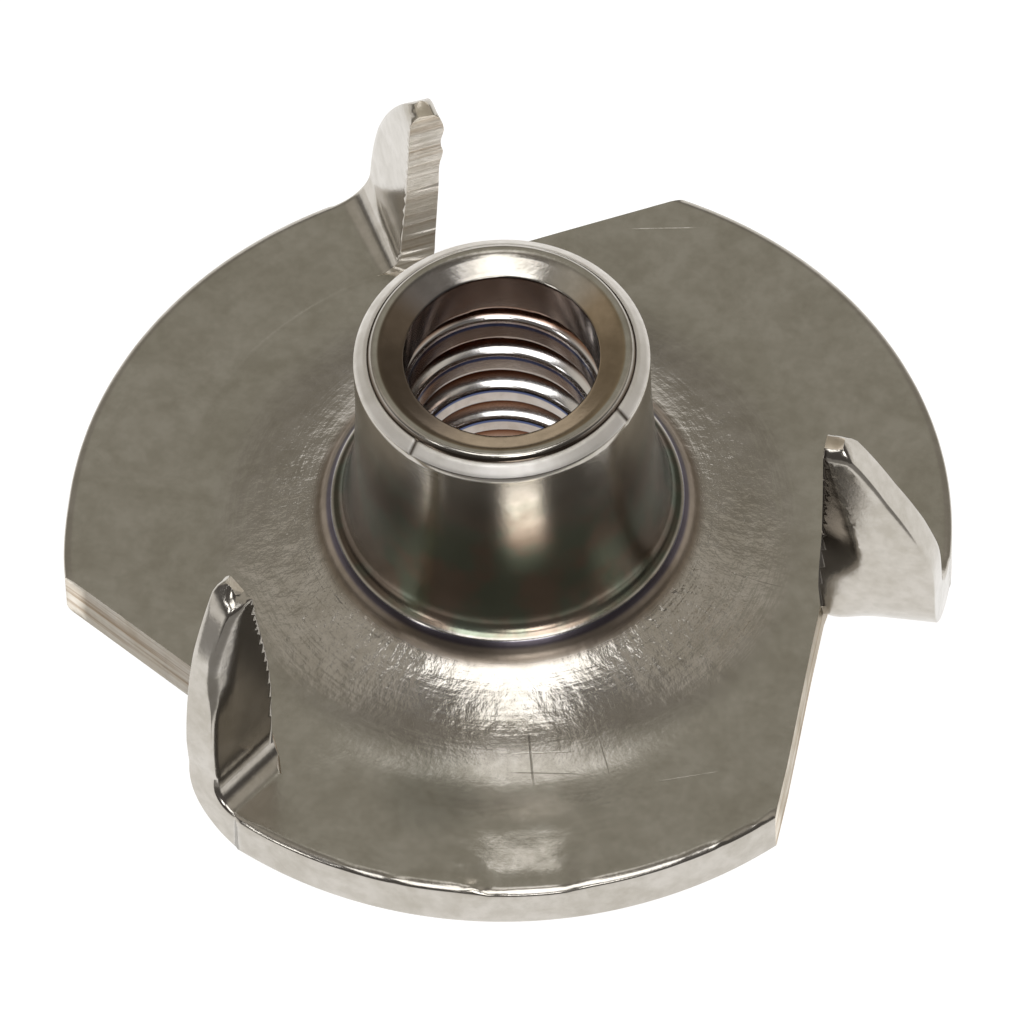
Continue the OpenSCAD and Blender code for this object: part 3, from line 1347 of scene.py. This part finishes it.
@dataclass(frozen=True)
class Steel:
    """A finish of the bright steel."""

    name: str
    colour: Colour = (0.58, 0.55, 0.505)  # linear, as all colours are
    stained: Colour = (0.5, 0.47, 0.42)
    shade: Colour = (0.62, 0.6, 0.54)  # what its clouds are multiplied by
    clouds: float = 0.3  # how much of that the darkest take
    roughness: float = 0.17
    grain_scale: float = 9.0
    grain_height: float = 0.0012
    drawn: DrawMarks | None = None
    torn: float = 0.0  # height of the bands that shearing leaves
    torn_colour: Colour = (0.26, 0.2, 0.14)  # of the darker bands
    thread: Bore | None = None  # the bore whose thread gets painted light and shade
    shade_and_stain: tuple[ShadeAndStainZone, ...] = ()  # its painted shade, painted reflections and stains
    marks: tuple[Mark, ...] = ()  # single scratches, and patches of painted shade
    # Colour of a scratch's line, and of the painted shade in the bevel's breaks
    scratch_and_shade_colour: Colour = (0.12, 0.1, 0.08)

    def material(self, groups: Groups) -> bpy.types.Material:
        """Makes the finish's material.

        Args:
            groups: The shared effects.

        Returns:
            The material.
        """
        made, w = new_material(self.name)
        axis = w.add("ShaderNodeGroup", node_tree=groups.round_axis).outputs
        place = axis["Place"]
        grain = w.add("ShaderNodeGroup", node_tree=groups.grain)
        w.link(grain, {"Place": place, "Grain Scale": self.grain_scale})
        cloud, stain = grain.outputs["Cloud"], grain.outputs["Stain"]
        colour = w.blend(w.span(stain, 0.35, 0.7), self.colour, self.stained)
        fleck = w.product(w.span(cloud, 0.3, 0.7), self.clouds)
        colour = w.blend(fleck, colour, self.shade, "MULTIPLY")
        rough = w.span(cloud, 0.25, 0.75, self.roughness * 0.92, self.roughness * 1.1)
        height = w.product(grain.outputs["Grain"], self.grain_height)
        if self.drawn:
            height = w.math("ADD", height, self.drawn.relief(w, axis))
        if self.torn:
            bands = self.bands(w, place)
            height = w.math("ADD", height, w.product(bands, self.torn))
            colour = w.blend(w.span(bands, 0.45, 0.75), colour, self.torn_colour)
        if self.thread:
            colour = self.paint_thread_light_and_shade(w, axis, colour)
        if self.shade_and_stain:
            colour, rough = self.paint_shade_and_stain(w, axis, colour, rough)
        for mark in self.marks:
            line = mark.mask(w, place)
            height = w.math("SUBTRACT", height, w.product(line, mark.depth))
            colour = w.blend(w.product(line, mark.tint), colour, self.scratch_and_shade_colour)
        height = w.product(height, MM)
        bump = w.add("ShaderNodeBump", {"Height": height, "Distance": 1.0, "Strength": 1.0})
        steel = w.add(
            "ShaderNodeBsdfPrincipled",
            {"Base Color": colour, "Roughness": rough, "Metallic": 1.0, "Normal": bump.outputs[0]},
        )
        w.add("ShaderNodeOutputMaterial", {"Surface": steel.outputs[0]})
        return made

    @staticmethod
    def bands(w: Wiring, place: Socket) -> Socket:
        """Adds the bands that shearing leaves across a cut wall.

        Args:
            w: The material's wiring.
            place: The place on the piece.

        Returns:
            A noise of them, from 0 to 1.
        """
        squashed = w.vector("MULTIPLY", {0: place, 1: (0.12, 0.12, 4.2)})["Vector"]
        return w.noise(squashed, 1.0, detail=3.0, rough=0.65)

    def paint_thread_light_and_shade(self, w: Wiring, axis: Sequence[Socket], colour: Socket) -> Socket:
        """Paints light and shade on the thread: darker towards the mouth, a highlight on the flank
        above each crest, brown shade in the root and bluish shade at the crest's upper corner.

        Args:
            w: The material's wiring.
            axis: The place round the axis.
            colour: The plain colour.

        Returns:
            The tinted colour.
        """
        bore, height = self.thread, axis["Height"]
        climb = w.math("DIVIDE", w.math("ADD", height, bore.below), bore.pitch)
        # Whole turns keep the share of the pitch above 0
        share = w.math("ADD", w.math("SUBTRACT", climb, axis["Angle"]), bore.phase + 4.0)
        share = w.math("FRACT", share)
        cut = w.span(height, 6.45, 6.2)
        # Painted shade, darker towards the mouth
        colour = w.darken(w.span(height, 3.6, 6.9), colour, (0.42, 0.36, 0.33))
        # Painted highlight on the flank above each crest, painted brown shade in the root, painted
        # bluish shade at the crest's upper corner
        for rise, fall, tint in (
            ((0.15, 0.19), (0.37, 0.33), (0.86, 0.84, 0.82)),
            ((0.3, 0.35), (0.8, 0.7), (0.3, 0.17, 0.11)),
            ((0.07, 0.11), (0.2, 0.17), (0.07, 0.09, 0.18)),
        ):
            colour = w.blend(w.product(w.window(share, rise, fall), cut), colour, tint)
        return colour

    def paint_shade_and_stain(
        self, w: Wiring, axis: Sequence[Socket], colour: Socket, rough: Socket
    ) -> tuple[Socket, Socket]:
        """Paints shade and reflections on parts of the surface, and a stain.

        Args:
            w: The material's wiring.
            axis: The place round the axis.
            colour: The plain colour.
            rough: The plain roughness.

        Returns:
            The colour and the roughness with the painted shade, reflections and stain in.
        """
        height, place = axis["Height"], axis["Place"]
        x, y, _ = w.add("ShaderNodeSeparateXYZ", {0: place}).outputs

        def facing(angle: float) -> Socket:
            """Closeness to a direction round the axis.

            Args:
                angle: The direction's angle.

            Returns:
                The closeness, as a cosine.
            """
            a = math.radians(angle)
            aim = (math.cos(a), math.sin(a), 0.0)
            return w.vector("DOT_PRODUCT", {0: axis["Way"], 1: aim})["Value"]

        down = w.product(w.math("SUBTRACT", height, 3.9), 0.214)
        measures = {
            Measure.RADIUS: axis["Radius"],
            Measure.HEIGHT: height,
            Measure.X: x,
            Measure.Y: y,
            Measure.SLANT: w.math("ADD", x, down),
            Measure.BESIDE: w.math("ABSOLUTE", facing(13.6)),
            Measure.FAR: facing(103.6),
            Measure.LEFT: facing(-170.0),
            Measure.SPOT: w.vector("DISTANCE", {0: place, 1: (-0.2, -7.1, 1.2)})["Value"],
        }
        patches = w.span(w.noise(place, 0.9, detail=3.0, rough=0.55), 0.4, 0.6)
        for zone in self.shade_and_stain:
            spans = [w.span(measures[by], end, full) for by, end, full in zone.edges]
            mask = w.product(*spans)
            first, last = zone.tints[0], zone.tints[-1]
            tint = first if first == last else w.blend(patches, first, last)
            colour = w.darken(w.product(mask, zone.share), colour, tint)
            if zone.rough:
                rough = w.math("ADD", rough, w.product(mask, zone.rough))
        return colour, rough


def new_material(name: str) -> tuple[bpy.types.Material, Wiring]:
    """Makes an empty node material.

    Args:
        name: The material's name.

    Returns:
        The material and its wiring.
    """
    made = bpy.data.materials.new(name)
    made.use_nodes = True
    made.node_tree.nodes.clear()
    return made, Wiring(made.node_tree)


# ------------------------------------------------------------------- studio


@dataclass(frozen=True)
class Lamp:
    """A soft area lamp that faces the piece."""

    name: str
    azimuth: float  # how far round it stands from the camera's side
    elevation: float  # above the floor, measured on the camera's side
    wide: float  # angles that its width and its height take up
    tall: float
    radiance: float
    distance: float = 0.5  # in metres

    def place(self, studio: "Studio") -> None:
        """Makes the lamp.

        Args:
            studio: The studio that it stands in.
        """
        out = studio.towards(self.azimuth, self.elevation)
        tall_way = studio.towards(self.azimuth, self.elevation + 90)
        side = tall_way.cross(out)
        data = bpy.data.lights.new(self.name, "AREA")
        data.shape = "RECTANGLE"
        data.size = 2 * self.distance * math.tan(math.radians(self.wide / 2))
        data.size_y = 2 * self.distance * math.tan(math.radians(self.tall / 2))
        data.energy = self.radiance * math.pi * data.size * data.size_y
        lamp = bpy.data.objects.new(self.name, data)
        turn = Matrix((side, tall_way, out)).transposed().to_4x4()
        lamp.matrix_world = Matrix.Translation(out * self.distance) @ turn
        lamp.visible_camera = False
        bpy.context.scene.collection.objects.link(lamp)


@dataclass(frozen=True)
class Glow:
    """A soft patch of the room's light."""

    azimuth: float  # how far round it lies from the camera's side
    elevation: float
    edge: Pair  # closeness of a ray, as a cosine, where it ends and is full
    colour: Colour


@dataclass
class Studio:
    """The floor, the light and the camera."""

    turn: float = 13.6  # the camera's place round the piece
    height: float = 54.4  # above the floor, as an angle
    roll: float = -2.4
    distance: float = 342.9  # from the middle of the flange's top
    lens: float = 561.3
    sensor: float = 36.0
    aim: Pair = (508.7, 525.8)  # the flange's middle in the picture, in pixels
    picture: float = 1024.0  # side of the picture, in pixels
    floor_r: float = 1.3  # in metres, as the floor's other sizes are
    floor_z: float = -0.00002
    paper: Colour = (0.3, 0.29, 0.28)
    mirrored: Pair = (0.0104, 0.0128)  # where the mirrored white fades, ahead of the axis
    mirror_left: float = 0.12  # how much of it is left
    shine: Pair = (0.03, 0.12)  # distances between which the floor grows fully white
    shine_near: float = 0.95  # how white it is nearer
    room: Colour = (0.1, 0.093, 0.088)
    low: Colour = (0.9, 0.88, 0.85)  # the low band on the camera's side
    glows: tuple[Glow, ...] = (
        Glow(-140, 36, (0.82, 0.95), (0.3, 0.28, 0.245)),
        Glow(140, 36, (0.82, 0.95), (0.3, 0.28, 0.245)),
        Glow(-108, 54, (0.9, 0.98), (0.5, 0.47, 0.42)),
        Glow(108, 54, (0.9, 0.98), (0.5, 0.47, 0.42)),
        Glow(180, 80, (0.96, 0.995), (0.2, 0.18, 0.15)),
        Glow(180, 54, (0.9, 0.985), (0.37, 0.355, 0.305)),
    )
    lamps: tuple[Lamp, ...] = (
        Lamp("key", 0, 73, wide=38, tall=20, radiance=2.6),
        Lamp("key_strip", 1, 88, wide=10, tall=10, radiance=2.4),
        Lamp("back_strip", 0, 108, wide=7, tall=14, radiance=1.1),
        Lamp("low_front", 11, 45, wide=18, tall=14, radiance=4.6),
        Lamp("low_left", -58, 44, wide=6, tall=14, radiance=4.0),
    )

    def towards(self, azimuth: float, elevation: float) -> Vector:
        """Direction from the piece to a place in the room.

        Args:
            azimuth: How far round it is from the camera's side.
            elevation: Its height above the floor.

        Returns:
            The direction, of length 1.
        """
        a, e = math.radians(azimuth), math.radians(elevation)
        level = self.front * math.cos(a) + self.right * math.sin(a)
        return level * math.cos(e) + Vector((0, 0, math.sin(e)))

    @property
    def front(self) -> Vector:
        """Level direction towards the camera."""
        a = math.radians(self.turn)
        return Vector((math.sin(a), -math.cos(a), 0))

    @property
    def right(self) -> Vector:
        """Level direction to the camera's right."""
        a = math.radians(self.turn)
        return Vector((math.cos(a), math.sin(a), 0))

    def place_camera(self, flange: Flange) -> None:
        """Places the camera.

        Args:
            flange: The flange whose top it looks at.
        """
        roll = math.radians(self.roll)
        out = self.towards(0, self.height)
        up = out.cross(self.right)
        right = self.right * math.cos(roll) + up * math.sin(roll)
        up = up * math.cos(roll) - self.right * math.sin(roll)
        focus = self.lens / self.sensor * self.picture
        half = self.picture / 2
        seen = Vector((self.aim[0] - half, half - self.aim[1], focus)).normalized()
        tilt = Vector(UP).rotation_difference(seen).to_matrix()
        axes = tilt @ Matrix((right, up, -out))
        turn = Matrix((axes[0], axes[1], -axes[2])).transposed().to_4x4()
        place = (Vector((0, 0, flange.t)) + out * self.distance) * MM
        data = bpy.data.cameras.new("camera")
        data.lens, data.sensor_width, data.sensor_fit = self.lens, self.sensor, "HORIZONTAL"
        data.clip_start, data.clip_end = 0.01, 10.0
        camera = bpy.data.objects.new("camera", data)
        camera.matrix_world = Matrix.Translation(place) @ turn
        bpy.context.scene.collection.objects.link(camera)
        bpy.context.scene.camera = camera

    def lay_floor(self) -> None:
        """Lays the pale floor, which keeps the piece's shadow."""
        bm = bmesh.new()
        bmesh.ops.create_circle(bm, cap_ends=True, radius=self.floor_r, segments=96)
        bmesh.ops.translate(bm, vec=(0, 0, self.floor_z), verts=bm.verts[:])
        mesh = bpy.data.meshes.new("floor")
        bm.to_mesh(mesh)
        bm.free()
        floor = bpy.data.objects.new("floor", mesh)
        bpy.context.scene.collection.objects.link(floor)
        made, w = new_material("pale_floor")
        where = w.add("ShaderNodeTexCoord").outputs["Object"]
        away = w.vector("LENGTH", {0: where})["Value"]
        ahead = w.vector("DOT_PRODUCT", {0: where, 1: tuple(self.front)})["Value"]
        rays = w.add("ShaderNodeLightPath").outputs
        near = w.span(ahead, *self.mirrored, 1.0, self.mirror_left)
        clear = w.math("MAXIMUM", rays["Is Camera Ray"], rays["Is Transmission Ray"])
        glow = w.math("MAXIMUM", clear, w.product(rays["Is Glossy Ray"], near))
        glow = w.product(glow, w.span(away, *self.shine, self.shine_near))
        white = w.add("ShaderNodeEmission", {"Color": (1, 1, 1, 1), "Strength": glow})
        paper = w.add("ShaderNodeBsdfDiffuse", {"Color": (*self.paper, 1)})
        both = w.add("ShaderNodeAddShader", {0: white.outputs[0], 1: paper.outputs[0]})
        glass = w.add("ShaderNodeBsdfTransparent")
        under = w.add("ShaderNodeNewGeometry").outputs["Backfacing"]
        pick = w.add("ShaderNodeMixShader", {0: under, 1: both.outputs[0], 2: glass.outputs[0]})
        w.add("ShaderNodeOutputMaterial", {"Surface": pick.outputs[0]})
        mesh.materials.append(made)

    def light_room(self) -> None:
        """Makes the room's soft light, darker on the camera's side."""
        world = bpy.data.worlds.new("room")
        bpy.context.scene.world = world
        world.use_nodes = True
        world.node_tree.nodes.clear()
        w = Wiring(world.node_tree)
        ray = w.add("ShaderNodeTexCoord").outputs["Generated"]

        def near(azimuth: float, elevation: float) -> Socket:
            """Closeness of a ray to a place in the room, as a cosine."""
            way = tuple(self.towards(azimuth, elevation))
            return w.vector("DOT_PRODUCT", {0: ray, 1: way})["Value"]

        height = w.add("ShaderNodeSeparateXYZ", {0: ray}).outputs["Z"]
        low = w.product(w.span(height, 0.42, 0.2), w.span(near(0, 0), 0.66, 0.4))
        colour = w.blend(low, self.room, self.low)
        for glow in self.glows:
            mask = w.span(near(glow.azimuth, glow.elevation), *glow.edge)
            colour = w.blend(mask, colour, glow.colour)
        seen = w.add("ShaderNodeLightPath").outputs["Is Camera Ray"]
        colour = w.blend(seen, colour, (1, 1, 1))
        sky = w.add("ShaderNodeBackground", {"Color": colour, "Strength": 1.0})
        w.add("ShaderNodeOutputWorld", {"Surface": sky.outputs[0]})

    def build(self, flange: Flange) -> None:
        """Builds the whole studio.

        Args:
            flange: The flange that the camera looks at.
        """
        self.place_camera(flange)
        self.lay_floor()
        self.light_room()
        for lamp in self.lamps:
            lamp.place(self)
        bpy.context.scene.view_settings.view_transform = "Standard"


FINISHES = {
    Skin.DRAWN: Steel(
        "bright_drawn_steel",
        grain_height=0.0017,
        drawn=DrawMarks(),
        shade_and_stain=tuple(SHADE_AND_STAIN_ZONES.values()),
        marks=(
            Mark((1.7, -5.9), -73.8, (0.75, 0.03), 0.0014, 0.28),
            Mark((1.9, -5.75), 13.6, (0.8, 0.018), 0.0018, 0.2),
            Mark((2.1, -6.2), 10.0, (0.9, 0.016), 0.0012, 0.15),
            Mark((3.1, -5.3), -64.0, (0.8, 0.018), 0.0018, 0.2),
            Mark((5.3, -0.57), 1.0, (0.9, 0.022), 0.0018, 0.25),
            Mark((5.1, -5.7), 22.0, (0.8, 0.02), 0.0014, 0.15),
            Mark((1.7, 8.4), 12.0, (0.9, 0.04), 0.003, 0.0),
        ),
    ),
    Skin.SHEARED: Steel(
        "sheared_steel",
        colour=(0.9, 0.85, 0.77),
        stained=(0.78, 0.71, 0.6),
        roughness=0.42,
        grain_height=0.003,
        torn=0.012,
        torn_colour=(0.46, 0.35, 0.24),
    ),
    Skin.TAPPED: Steel(
        "tapped_steel",
        colour=(0.5, 0.45, 0.41),
        stained=(0.42, 0.36, 0.31),
        roughness=0.16,
        grain_height=0.001,
        thread=Bore(),
    ),
    Skin.FACED: Steel(
        "faced_steel",
        colour=(0.9, 0.87, 0.83),
        stained=(0.78, 0.75, 0.7),
        shade=(0.85, 0.84, 0.82),
        roughness=0.5,
        # Painted shade: two dark patches, with no depth, in the breaks of the barrel's top bevel
        marks=(
            Mark((-1.35, -2.69), -110.0, (0.34, 0.075), 0.0, 1.0),
            Mark((2.84, -1.04), -26.0, (0.34, 0.08), 0.0, 1.0),
        ),
    ),
}


PRONGS = (
    Prong(
        number=1,
        turn=0,
        face_y=-0.17,
        start=(0.6, 0.9),
        stretch=1.1,
        inner=((1.2, 0.0), (2.15, -0.1), (2.98, -0.09), (3.8, -0.07), (5.19, -0.03), (6.47, 0.0)),
        outer=((1.2, 0.0), (2.22, 0.35), (3.4, 0.29), (4.14, 0.25), (5.27, 0.11), (6.42, 0.1)),
        notch=((-5.0, 0.0), (-2.0, -0.08), (-0.5, -0.1), (0.6, 0.0)),
        creases=(Crease(Side.OUTER, (7.74, 3.9), (7.43, 5.35), 0.34, (2.5, 4.0)),),
        bosses=(Boss(Side.OUTER, 7.35, 1.1, (0.45, 0.6), 0.14),),
    ),
    Prong(
        number=2,
        turn=120,
        lean=-4.0,
        face_y=0.04,
        start=(0.6, 0.9),
        root_t=0.78,
        tip_w=0.28,
        inner=((1.2, 0.2), (2.0, 0.2), (4.0, 0.06), (6.6, 0.08)),
        outer=((1.2, 0.0), (2.1, 0.14), (3.8, 0.21), (5.7, 0.15)),
        notch=((-1.5, 0.0), (0.6, 0.2)),
        bosses=(
            Boss(Side.OUTER, 7.0, 5.95, (0.35, 0.3), 0.12),
            Boss(Side.OUTER, 7.0, 5.15, (0.35, 0.26), 0.1),
        ),
    ),
    Prong(
        number=3,
        turn=240,
        lean=-5.2,
        face_y=0.0,
        start=(0.65, 0.65),
        root_t=0.84,
        tip_t=0.74,
        stretch=1.01,
        tip_slant=0.28,
        inner=(
            (1.2, 0.92), (1.3, 0.62), (1.69, 0.49), (2.33, 0.4), (2.97, 0.31),
            (3.49, 0.28), (4.03, 0.28), (4.61, 0.32), (5.49, 0.39), (6.41, 0.41),
        ),
        outer=(
            (1.2, 0.0), (1.8, -0.14), (2.52, -0.03), (3.17, 0.04), (3.93, 0.13),
            (4.97, 0.27), (6.29, 0.32),
        ),
        notch=((-6.4, 0.1), (-1.0, 0.12), (-0.2, 0.25), (0.3, 0.6), (0.65, 0.92)),
        creases=(Crease(Side.INNER, (8.42, 4.2), (7.72, 6.3), -0.3, (3.6, 4.6)),),
    ),
)


def main() -> None:
    """Builds the piece, its finishes and the studio."""
    logging.basicConfig(level=logging.INFO, format="%(name)s: %(message)s")
    nut = StampedNut(Flange(), Barrel(), Bore(), PRONGS)
    piece = nut.build()
    groups = Groups()
    for skin in Skin:
        piece.data.materials.append(FINISHES[skin].material(groups))
    LOG.info("%s: %d faces", piece.name, len(piece.data.polygons))
    Studio().build(nut.flange)


if __name__ == "__main__":
    main()
